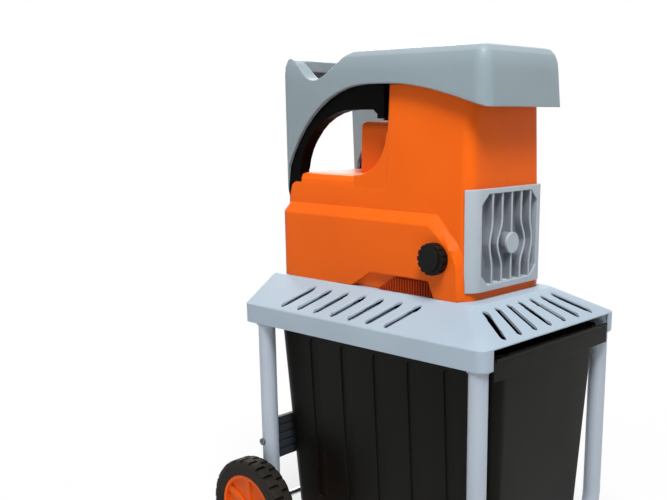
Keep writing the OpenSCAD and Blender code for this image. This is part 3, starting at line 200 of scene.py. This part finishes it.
def mouldedPlastic(name, look):
    material, tree, shader, coords = newFinish(name)
    mottle = noise(tree, coords, look["mottleScale"], finishLook["markDetail"])
    grain = noise(tree, coords, look["grainScale"], finishLook["grainDetail"])
    normal, corner = softEdge(tree, look["edge"])
    # lighter colour on the corners, broken up by noise: partly edge wear, partly a painted highlight along
    # the edges
    wearAndHighlight = noise(tree, coords, finishLook["wearAndHighlightScale"], finishLook["wearAndHighlightDetail"])
    wearAndHighlightSpan = finishLook["wearAndHighlightLow"], finishLook["wearAndHighlightHigh"]
    wearAndHighlightMask = times(tree, corner, remap(tree, wearAndHighlight, *wearAndHighlightSpan, 0.0, look["wearAndHighlight"]))
    base = mixColour(tree, wearAndHighlightMask, colourRamp(tree, mottle, look["dark"], look["light"]), look["wearAndHighlightColour"])
    # a darker colour inside a box of the object's own coordinates: painted shade in a recess
    if "paintedRecessShade" in look:
        low, high, colour = look["paintedRecessShade"]
        base = mixColour(tree, insideBox(tree, coords, low, high, finishLook["paintedRecessShadeFade"]), base, colour)
    tree.links.new(base, shader.inputs["Base Color"])
    addRoughness(tree, mottle, look, shader)
    addBump(tree, grain, look["grainDepth"], normal, shader)
    shader.inputs["Specular IOR Level"].default_value = look["shine"]
    return material


def workedMetal(name, look):
    material, tree, shader, coords = newFinish(name)
    marks = noise(tree, coords, look["markScale"], finishLook["markDetail"], look["stretch"])
    normal, corner = softEdge(tree, finishLook["metalEdge"])
    base = colourRamp(tree, marks, look["dark"], look["light"])
    # every corner turns fully to the lighter colour: partly edge wear, partly a painted highlight along the
    # edges
    tree.links.new(mixColour(tree, corner, base, look["wearAndHighlightColour"]), shader.inputs["Base Color"])
    addRoughness(tree, marks, look, shader)
    addBump(tree, marks, look["markDepth"], normal, shader)
    shader.inputs["Metallic"].default_value = look["metal"]
    return material


# in each look the lighter corner colour and its share are partly edge wear and partly a painted edge
# highlight
plasticLooks = {
    "orange_plastic": {
        "dark": tint(238, 97, 6), "light": tint(244, 103, 9), "wearAndHighlightColour": tint(250, 126, 44),
        "mottleScale": 7.0, "grainScale": 1400.0, "grainDepth": 0.05, "smooth": 0.42,
        "rough": 0.52, "shine": 0.2, "edge": 0.0016, "wearAndHighlight": 0.5,
    },
    "vent_plastic": {
        "dark": tint(160, 52, 8), "light": tint(178, 60, 10), "wearAndHighlightColour": tint(205, 80, 20),
        "mottleScale": 20.0, "grainScale": 1400.0, "grainDepth": 0.06, "smooth": 0.5,
        "rough": 0.6, "shine": 0.2, "edge": 0.0005, "wearAndHighlight": 0.4,
    },
    "hub_plastic": {
        "dark": tint(222, 88, 8), "light": tint(236, 97, 14), "wearAndHighlightColour": tint(246, 124, 50),
        "mottleScale": 12.0, "grainScale": 1200.0, "grainDepth": 0.06, "smooth": 0.38,
        "rough": 0.5, "shine": 0.12, "edge": 0.0012, "wearAndHighlight": 0.6,
    },
    "hopper_plastic": {
        "dark": tint(134, 149, 156), "light": tint(141, 155, 162), "wearAndHighlightColour": tint(168, 182, 190),
        "mottleScale": 6.0, "grainScale": 1300.0, "grainDepth": 0.08, "smooth": 0.36,
        "rough": 0.44, "shine": 0.35, "edge": 0.0018, "wearAndHighlight": 0.5,
    },
    "cover_plastic": {
        "dark": tint(162, 178, 192), "light": tint(169, 185, 198), "wearAndHighlightColour": tint(196, 209, 220),
        "mottleScale": 6.0, "grainScale": 1300.0, "grainDepth": 0.08, "smooth": 0.42,
        "rough": 0.5, "shine": 0.35, "edge": 0.0018, "wearAndHighlight": 0.5,
    },
    "tube_paint": {
        "dark": tint(172, 183, 196), "light": tint(180, 191, 203), "wearAndHighlightColour": tint(196, 206, 216),
        "mottleScale": 9.0, "grainScale": 420.0, "grainDepth": 0.1, "smooth": 0.3,
        "rough": 0.4, "shine": 0.45, "edge": 0.0006, "wearAndHighlight": 0.3,
    },
    "panel_plastic": {
        "dark": tint(42, 46, 52), "light": tint(53, 57, 64), "wearAndHighlightColour": tint(84, 88, 98),
        "mottleScale": 10.0, "grainScale": 900.0, "grainDepth": 0.1, "smooth": 0.5,
        "rough": 0.6, "shine": 0.2, "edge": 0.001, "wearAndHighlight": 0.5,
    },
    "black_plastic": {
        "dark": tint(4, 4, 4), "light": tint(8, 8, 8), "wearAndHighlightColour": tint(46, 46, 45),
        "mottleScale": 10.0, "grainScale": 900.0, "grainDepth": 0.1, "smooth": 0.42,
        "rough": 0.52, "shine": 0.03, "edge": 0.001, "wearAndHighlight": 0.4,
    },
    "box_plastic": {
        "dark": tint(9, 9, 6), "light": tint(15, 15, 10), "wearAndHighlightColour": tint(52, 50, 44),
        "mottleScale": 5.0, "grainScale": 700.0, "grainDepth": 0.12, "smooth": 0.36,
        "rough": 0.48, "shine": 0.1, "edge": 0.0015, "wearAndHighlight": 0.45,
    },
    # dark rubber; the warm brown cast in these tones is a painted reflection of the orange hub
    "tyre_rubber": {
        "dark": tint(22, 20, 18), "light": tint(42, 37, 31), "wearAndHighlightColour": tint(66, 60, 52),
        "mottleScale": 22.0, "grainScale": 500.0, "grainDepth": 0.25, "smooth": 0.7,
        "rough": 0.85, "shine": 0.2, "edge": 0.001, "wearAndHighlight": 0.6,
    },
    "green_plastic": {
        "dark": tint(28, 116, 52), "light": tint(34, 130, 60), "wearAndHighlightColour": tint(80, 160, 100),
        "mottleScale": 30.0, "grainScale": 900.0, "grainDepth": 0.05, "smooth": 0.25,
        "rough": 0.32, "shine": 0.5, "edge": 0.0008, "wearAndHighlight": 0.5,
    },
    "red_plastic": {
        "dark": tint(172, 24, 20), "light": tint(190, 30, 24), "wearAndHighlightColour": tint(214, 80, 72),
        "mottleScale": 30.0, "grainScale": 900.0, "grainDepth": 0.05, "smooth": 0.25,
        "rough": 0.32, "shine": 0.5, "edge": 0.0008, "wearAndHighlight": 0.5,
    },
    "grey_plastic": {
        "dark": tint(72, 73, 76), "light": tint(84, 85, 88), "wearAndHighlightColour": tint(112, 113, 116),
        "mottleScale": 25.0, "grainScale": 900.0, "grainDepth": 0.1, "smooth": 0.4,
        "rough": 0.5, "shine": 0.35, "edge": 0.0008, "wearAndHighlight": 0.5,
    },
    "knobBlack": {
        "dark": tint(9, 10, 8), "light": tint(16, 18, 15), "wearAndHighlightColour": tint(52, 54, 49),
        "mottleScale": 25.0, "grainScale": 900.0, "grainDepth": 0.1, "smooth": 0.38,
        "rough": 0.48, "shine": 0.12, "edge": 0.0008, "wearAndHighlight": 0.5,
    },
    "grilleGrey": {
        "dark": tint(169, 179, 188), "light": tint(177, 187, 195), "wearAndHighlightColour": tint(210, 218, 225),
        "mottleScale": 8.0, "grainScale": 1300.0, "grainDepth": 0.08, "smooth": 0.4,
        "rough": 0.5, "shine": 0.35, "edge": 0.0012, "wearAndHighlight": 0.7,
        # a darker grey inside the grille's recessed window and slots: painted shade where they lie deep
        "paintedRecessShade": ((-0.0805, -0.2140, 0.5695), (0.0795, -0.19, 0.7205), tint(128, 132, 141)),
    },
}
# in each metal look the lighter corner colour is partly edge wear and partly a painted edge highlight
metalLooks = {
    "cast_alloy": {
        "dark": tint(150, 152, 156), "light": tint(176, 178, 182), "wearAndHighlightColour": tint(206, 208, 211),
        "markScale": 60.0, "stretch": None, "markDepth": 0.3, "smooth": 0.45, "rough": 0.6,
        "metal": 0.9,
    },
    "bright_steel": {
        "dark": tint(178, 180, 184), "light": tint(205, 207, 211), "wearAndHighlightColour": tint(226, 228, 231),
        "markScale": 40.0, "stretch": (1.0, 12.0, 1.0), "markDepth": 0.15, "smooth": 0.22,
        "rough": 0.38, "metal": 1.0,
    },
    "can_alloy": {
        "dark": tint(186, 188, 192), "light": tint(204, 206, 210), "wearAndHighlightColour": tint(222, 224, 227),
        "markScale": 50.0, "stretch": (1.0, 0.1, 1.0), "markDepth": 0.1, "smooth": 0.25,
        "rough": 0.36, "metal": 1.0,
    },
    "copper_wire": {
        "dark": tint(150, 78, 40), "light": tint(196, 112, 64), "wearAndHighlightColour": tint(214, 136, 90),
        "markScale": 160.0, "stretch": (1.0, 0.2, 1.0), "markDepth": 0.5, "smooth": 0.3,
        "rough": 0.4, "metal": 0.9,
    },
    "darkZinc": {
        "dark": tint(88, 90, 92), "light": tint(118, 120, 123), "wearAndHighlightColour": tint(150, 152, 155),
        "markScale": 90.0, "stretch": None, "markDepth": 0.2, "smooth": 0.42, "rough": 0.56,
        "metal": 0.85,
    },
}
finishes = {slot: mouldedPlastic(slot, look) for slot, look in plasticLooks.items()}
finishes.update({slot: workedMetal(slot, look) for slot, look in metalLooks.items()})
print("finishes made:", len(finishes))


def wearFinish(piece, slot):
    piece.data.materials.clear()
    piece.data.materials.append(finishes[slot])


ownFinish = {  # nodes whose finish isn't their slot's
    "front_grille": "grilleGrey", "adjusting_knob": "knobBlack",
    "leg_screws": "darkZinc", "housing_screws": "darkZinc",
}
for node, part in nodes.items():
    wearFinish(part, ownFinish.get(node, nodeSlot[node]))

creaseAngle = 35.0  # corners sharper than this stay sharp in the shading


def newPiece(form, name, slot, body, finish=None):  # a finished bmesh as an object in its body
    mesh = bpy.data.meshes.new(name)
    form.normal_update()
    for face in form.faces:
        face.smooth = True
    for edge in form.edges:
        edge.smooth = edge.is_manifold and edge.calc_face_angle(0) < math.radians(creaseAngle)
    form.to_mesh(mesh)
    form.free()
    if "custom_normal" in mesh.attributes:  # a copied node's own normals don't fit its new faces
        mesh.attributes.remove(mesh.attributes["custom_normal"])
    piece = bpy.data.objects.new(name, mesh)
    scene.collection.objects.link(piece)
    wearFinish(piece, finish or slot)
    weigh = piece.modifiers.new("evenShading", "WEIGHTED_NORMAL")
    weigh.keep_sharp = True
    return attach(piece, body)


easing = {
    "weld": 0.00002, "cutSlack": 0.00005, "cutShare": 0.63,  # cuts lie off the middle of a node
    "splitSlack": 0.0003, "room": 2.2,  # a face is this many times as wide as its bevel
    "leastCross": 2e-8, "foldLimit": 0.2, "stray": 0.7, "spotGap": 0.003,
    "attempts": 24, "reach": 1.2, "reachStep": 0.2,
}


def cutAcross(form, axis, place):  # marks the cut as a seam, so that it stays when flat faces are joined
    point, way = [0.0] * 3, [0.0] * 3
    point[axis], way[axis] = place, 1.0
    everything = form.verts[:] + form.edges[:] + form.faces[:]
    cut = bmesh.ops.bisect_plane(form, geom=everything, dist=easing["cutSlack"], plane_co=point, plane_no=way)
    for item in cut["geom_cut"]:
        if isinstance(item, bmesh.types.BMEdge):
            item.seam = True


def mergedNode(node, look):  # a closed copy in flat faces within a cell, which a bevel can cut cleanly
    form = bmesh.new()
    form.from_mesh(nodes[node].data)
    bmesh.ops.remove_doubles(form, verts=form.verts, dist=easing["weld"])
    low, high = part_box(node)
    for axis in range(3):
        span = high[axis] - low[axis]
        count = int(span / look["cell"])
        for step in range(count):
            cutAcross(form, axis, low[axis] + span * (step + easing["cutShare"]) / count)
    bmesh.ops.dissolve_limit(form, angle_limit=math.radians(look["flat"]), verts=form.verts,
                             edges=form.edges, delimit={"SEAM"})
    return form


def inSplit(edge, look):  # the two housing halves meet here without a groove
    if look["splitX"] is None:
        return False
    return all(abs(vert.co.x - look["splitX"]) < easing["splitSlack"] for vert in edge.verts)


def hasRoom(edge, size):  # faces on both sides are wide enough for the bevel
    for face in edge.link_faces:
        along = (edge.verts[1].co - edge.verts[0].co).normalized()
        wide = max((v.co - edge.verts[0].co).cross(along).length for v in face.verts)
        if wide < easing["room"] * size:
            return False
    return True


def foldedCorners(form):  # corners of faces that a bevel has turned over on themselves
    form.normal_update()
    folded = set()
    for loops in form.calc_loop_triangles():
        first, second, third = (loop.vert.co for loop in loops)
        cross = (second - first).cross(third - first)
        if cross.length <= easing["leastCross"]:  # too thin to say which way it faces
            continue
        if cross.dot(loops[0].face.normal) < easing["foldLimit"] * cross.length:
            folded.update(loop.vert for loop in loops)
    return folded


def edgeFinder(form, gap):  # finds the edges that pass near a point
    spots = []
    for edge in form.edges:
        count = int(edge.calc_length() / gap) + 1
        start, end = (vert.co for vert in edge.verts)
        spots += [(start.lerp(end, (step + 0.5) / count), edge.index) for step in range(count)]
    finder = KDTree(len(spots))
    for place, index in spots:
        finder.insert(place, index)
    finder.balance()
    return finder


def easedForm(source, look):  # bevels the corners, leaving out those where the bevel would fold over itself
    skin = BVHTree.FromBMesh(source)
    finder = edgeFinder(source, easing["spotGap"])
    size = look["edge"]
    skip = set()
    for attempt in range(easing["attempts"]):
        form = source.copy()
        form.edges.ensure_lookup_table()
        corners = [e for e in form.edges if e.index not in skip and e.is_manifold
                   and e.calc_face_angle(0) > math.radians(look["sharp"])
                   and hasRoom(e, size) and not inSplit(e, look)]
        bmesh.ops.bevel(form, geom=corners, offset=size, offset_type="OFFSET", segments=look["steps"],
                        profile=0.5, affect="EDGES", clamp_overlap=False, material=-1)
        stray = {v for v in form.verts if skin.find_nearest(v.co)[3] > size * easing["stray"]}
        wild = stray | foldedCorners(form)
        if not wild:
            return form
        reach = size * (easing["reach"] + easing["reachStep"] * attempt)
        for vert in wild:
            skip.update(index for _, index, _ in finder.find_range(vert.co, reach))
        form.free()
    print("left unbevelled")
    return source


plainEdge = {"steps": 2, "sharp": 28.0, "cell": 0.03, "flat": 0.5, "splitX": None}
easedNodes = {  # what differs from the plain edge, node by node
    "base_cover": {"edge": 0.0022, "steps": 3, "sharp": 18.0},
    "housing_left": {"edge": 0.0020, "sharp": 24.0, "splitX": 0.0},
    "housing_right": {"edge": 0.0020, "sharp": 24.0, "splitX": 0.0},
    "hopper_cover": {"edge": 0.0020, "steps": 3, "sharp": 24.0},
    "front_grille": {"edge": 0.0010, "cell": 0.02},
    "collection_box": {"edge": 0.0012},
    "adjusting_knob": {"edge": 0.0012},
    "left_handle_liner": {"edge": 0.0012},
    "right_handle_liner": {"edge": 0.0012},
    "rear_cross_panel": {"edge": 0.0010},
    "left_hub": {"edge": 0.0014},
    "right_hub": {"edge": 0.0014},
    "left_tyre": {"edge": 0.0008, "steps": 1, "flat": 0.05},
    "right_tyre": {"edge": 0.0008, "steps": 1, "flat": 0.05},
    "left_foot": {"edge": 0.0015},
    "right_foot": {"edge": 0.0015},
    "switch_unit": {"edge": 0.0008},
    "on_button": {"edge": 0.0008},
    "off_button": {"edge": 0.0008},
    "reset_button": {"edge": 0.0006},
    "direction_selector": {"edge": 0.0008, "cell": 0.01},
    "power_inlet": {"edge": 0.0008},
    "hopper_funnel": {"edge": 0.0010},
    "left_vent_insert": {"edge": 0.0004, "steps": 1},
    "right_vent_insert": {"edge": 0.0004, "steps": 1},
}
for node, ownEdge in easedNodes.items():
    look = {**plainEdge, **ownEdge}
    form = easedForm(mergedNode(node, look), look)
    piece = newPiece(form, node + "Form", nodeSlot[node], nodeBody[node], ownFinish.get(node))
    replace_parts(piece, node)
print("eased copies made:", len(easedNodes))

tubeLook = {
    "radius": 0.016, "wall": 0.0018, "around": 48,
    "legX": 0.184, "frontY": -0.2895, "rearY": 0.2125, "top": 0.493, "hoopZ": 0.05,
    "bend": 0.1, "bendSteps": 18, "plugDepth": 0.02,
}


def startRing(form, place, look):
    made = bmesh.ops.create_circle(form, cap_ends=False, segments=look["around"], radius=look["radius"],
                                   matrix=Matrix.Translation(place))
    return list({edge for vert in made["verts"] for edge in vert.link_edges})


def runOn(form, ring, step):
    made = bmesh.ops.extrude_edge_only(form, edges=ring)["geom"]
    ends = {item for item in made if isinstance(item, bmesh.types.BMVert)}
    bmesh.ops.translate(form, verts=list(ends), vec=step)
    return [item for item in made if isinstance(item, bmesh.types.BMEdge) and set(item.verts) <= ends]


def bendOn(form, ring, centre, look):
    corners = list({vert for edge in ring for vert in edge.verts})
    made = bmesh.ops.spin(form, geom=corners + ring, cent=centre, axis=(0, 1, 0), dvec=(0, 0, 0),
                          angle=-math.pi / 2, steps=look["bendSteps"], use_merge=False, use_duplicate=False)
    return [item for item in made["geom_last"] if isinstance(item, bmesh.types.BMEdge)]


def closeEnds(form):
    rims = [edge for edge in form.edges if edge.is_boundary]
    bmesh.ops.holes_fill(form, edges=rims, sides=0)
    bmesh.ops.recalc_face_normals(form, faces=form.faces)


def buildHoop(look):
    form = bmesh.new()
    legX, y, bend = look["legX"], look["frontY"], look["bend"]
    straight = look["top"] - look["hoopZ"] - bend
    ring = startRing(form, (-legX, y, look["top"]), look)
    ring = runOn(form, ring, (0, 0, -straight))
    ring = bendOn(form, ring, (bend - legX, y, look["hoopZ"] + bend), look)
    ring = runOn(form, ring, (2 * (legX - bend), 0, 0))
    ring = bendOn(form, ring, (legX - bend, y, look["hoopZ"] + bend), look)
    runOn(form, ring, (0, 0, straight))
    closeEnds(form)
    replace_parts(newPiece(form, "hoopTube", "tube_paint", "machine"), "front_hoop")


def buildLeg(node, side, look):
    form = bmesh.new()
    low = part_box(node)[0][2]
    ring = startRing(form, (side * look["legX"], look["rearY"], look["top"]), look)
    runOn(form, ring, (0, 0, low - look["top"]))
    closeEnds(form)
    mouth = min(form.faces, key=lambda face: face.calc_center_median().z)
    bmesh.ops.inset_region(form, faces=[mouth], thickness=look["wall"], depth=0.0)
    bmesh.ops.translate(form, verts=mouth.verts, vec=(0, 0, look["plugDepth"]))
    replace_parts(newPiece(form, node + "Tube", "tube_paint", "machine"), node)


buildHoop(tubeLook)
buildLeg("left_rear_leg", -1, tubeLook)
buildLeg("right_rear_leg", 1, tubeLook)
print("stand tubes made")

guardLook = {
    "middleX": 0.164, "wide": 0.062, "front": -0.143, "rear": 0.180,
    "slopeMiddleZ": 0.519, "below": 0.012, "slope": 30.0, "thick": 0.002, "rows": 8,
}


def buildGuard(name, side, look):  # the grey inner wall that shows through the side slots
    form = bmesh.new()
    bmesh.ops.create_grid(form, x_segments=2, y_segments=look["rows"], size=0.5)
    bmesh.ops.scale(form, verts=form.verts, vec=(look["wide"], look["rear"] - look["front"], 1))
    tilt = Matrix.Rotation(math.radians(side * look["slope"]), 3, "Y")
    bmesh.ops.rotate(form, verts=form.verts, matrix=tilt)
    middleY = (look["front"] + look["rear"]) / 2
    place = (side * look["middleX"], middleY, look["slopeMiddleZ"] - look["below"])
    bmesh.ops.translate(form, verts=form.verts, vec=place)
    bmesh.ops.solidify(form, geom=form.faces, thickness=look["thick"])
    bmesh.ops.recalc_face_normals(form, faces=form.faces)
    newPiece(form, name, "cover_plastic", "machine")


buildGuard("leftSlotGuard", -1, guardLook)
buildGuard("rightSlotGuard", 1, guardLook)

beadLook = {"radius": 0.0024, "halfLength": 0.170, "place": (0, -0.3122, 0.4775), "around": 16}


def buildBead(look):  # the rounded rim along the top of the box's front
    form = bmesh.new()
    lying = Matrix.Translation(look["place"]) @ Matrix.Rotation(math.pi / 2, 4, "Y")
    bmesh.ops.create_cone(form, cap_ends=True, segments=look["around"], radius1=look["radius"],
                          radius2=look["radius"], depth=2 * look["halfLength"], matrix=lying)
    newPiece(form, "boxBead", "box_plastic", "box")


buildBead(beadLook)
print("trim made")

stageSettings = {
    "floorSize": 4.0, "floorColour": tint(240, 240, 240), "white": (1, 1, 1, 1), "worldLight": 0.22,
    "shareNear": 0.72, "shareFar": 1.0, "fadeFrom": 0.5, "fadeTo": 1.2,  # the floor whitens outwards
}


def seenRays(tree):  # 1 for rays that show the background itself
    path = tree.nodes.new("ShaderNodeLightPath")
    total = path.outputs["Is Camera Ray"]
    for kind in ("Is Glossy Ray", "Is Transmission Ray"):
        most = tree.nodes.new("ShaderNodeMath")
        most.operation = "MAXIMUM"
        tree.links.new(total, most.inputs[0])
        tree.links.new(path.outputs[kind], most.inputs[1])
        total = most.outputs[0]
    return total


def setStage(look):
    form = bmesh.new()
    bmesh.ops.create_grid(form, x_segments=2, y_segments=2, size=look["floorSize"])
    mesh = bpy.data.meshes.new("floor")
    form.to_mesh(mesh)
    form.free()
    floor = bpy.data.objects.new("floor", mesh)
    scene.collection.objects.link(floor)
    material = bpy.data.materials.new("paleFloor")
    material.use_nodes = True
    tree = material.node_tree
    tree.nodes.clear()
    output = tree.nodes.new("ShaderNodeOutputMaterial")
    matt = addNode(tree, "ShaderNodeBsdfDiffuse", Color=look["floorColour"])
    glow = addNode(tree, "ShaderNodeEmission", Color=look["white"], Strength=1.0)
    blend = tree.nodes.new("ShaderNodeMixShader")
    coords = tree.nodes.new("ShaderNodeTexCoord")
    reach = tree.nodes.new("ShaderNodeVectorMath")
    reach.operation = "LENGTH"
    tree.links.new(coords.outputs["Object"], reach.inputs[0])
    fade = [look[key] for key in ("fadeFrom", "fadeTo", "shareNear", "shareFar")]
    share = remap(tree, reach.outputs["Value"], *fade)
    tree.links.new(times(tree, share, seenRays(tree)), blend.inputs[0])
    tree.links.new(matt.outputs[0], blend.inputs[1])
    tree.links.new(glow.outputs[0], blend.inputs[2])
    tree.links.new(blend.outputs[0], output.inputs["Surface"])
    mesh.materials.append(material)


def setWorld(look):
    world = bpy.data.worlds.new("studio")
    scene.world = world
    world.use_nodes = True
    tree = world.node_tree
    background = tree.nodes["Background"]
    background.inputs["Color"].default_value = look["white"]
    strength = remap(tree, seenRays(tree), 0.0, 1.0, look["worldLight"], 1.0)
    tree.links.new(strength, background.inputs["Strength"])


softBoxes = {
    "keyLight": {"place": (-1.05, -1.15, 3.17), "aim": (0, 0, 0.6), "size": 1.1, "watts": 104},
    "backLight": {"place": (1.7, 2.3, 1.9), "aim": (0, 0, 0.5), "size": 2.0, "watts": 60},
    "sideLight": {"place": (-3.0, 0.4, 1.0), "aim": (0, 0, 0.5), "size": 2.0, "watts": 2},
}


def hangLight(name, lamp):
    data = bpy.data.lights.new(name, "AREA")
    data.size = lamp["size"]
    data.energy = lamp["watts"]
    light = bpy.data.objects.new(name, data)
    light.location = lamp["place"]
    aim = Vector(lamp["aim"]) - Vector(lamp["place"])
    light.rotation_euler = aim.to_track_quat("-Z", "Y").to_euler()
    scene.collection.objects.link(light)


setStage(stageSettings)
setWorld(stageSettings)
for name, lamp in softBoxes.items():
    hangLight(name, lamp)
print("stage and lights set")
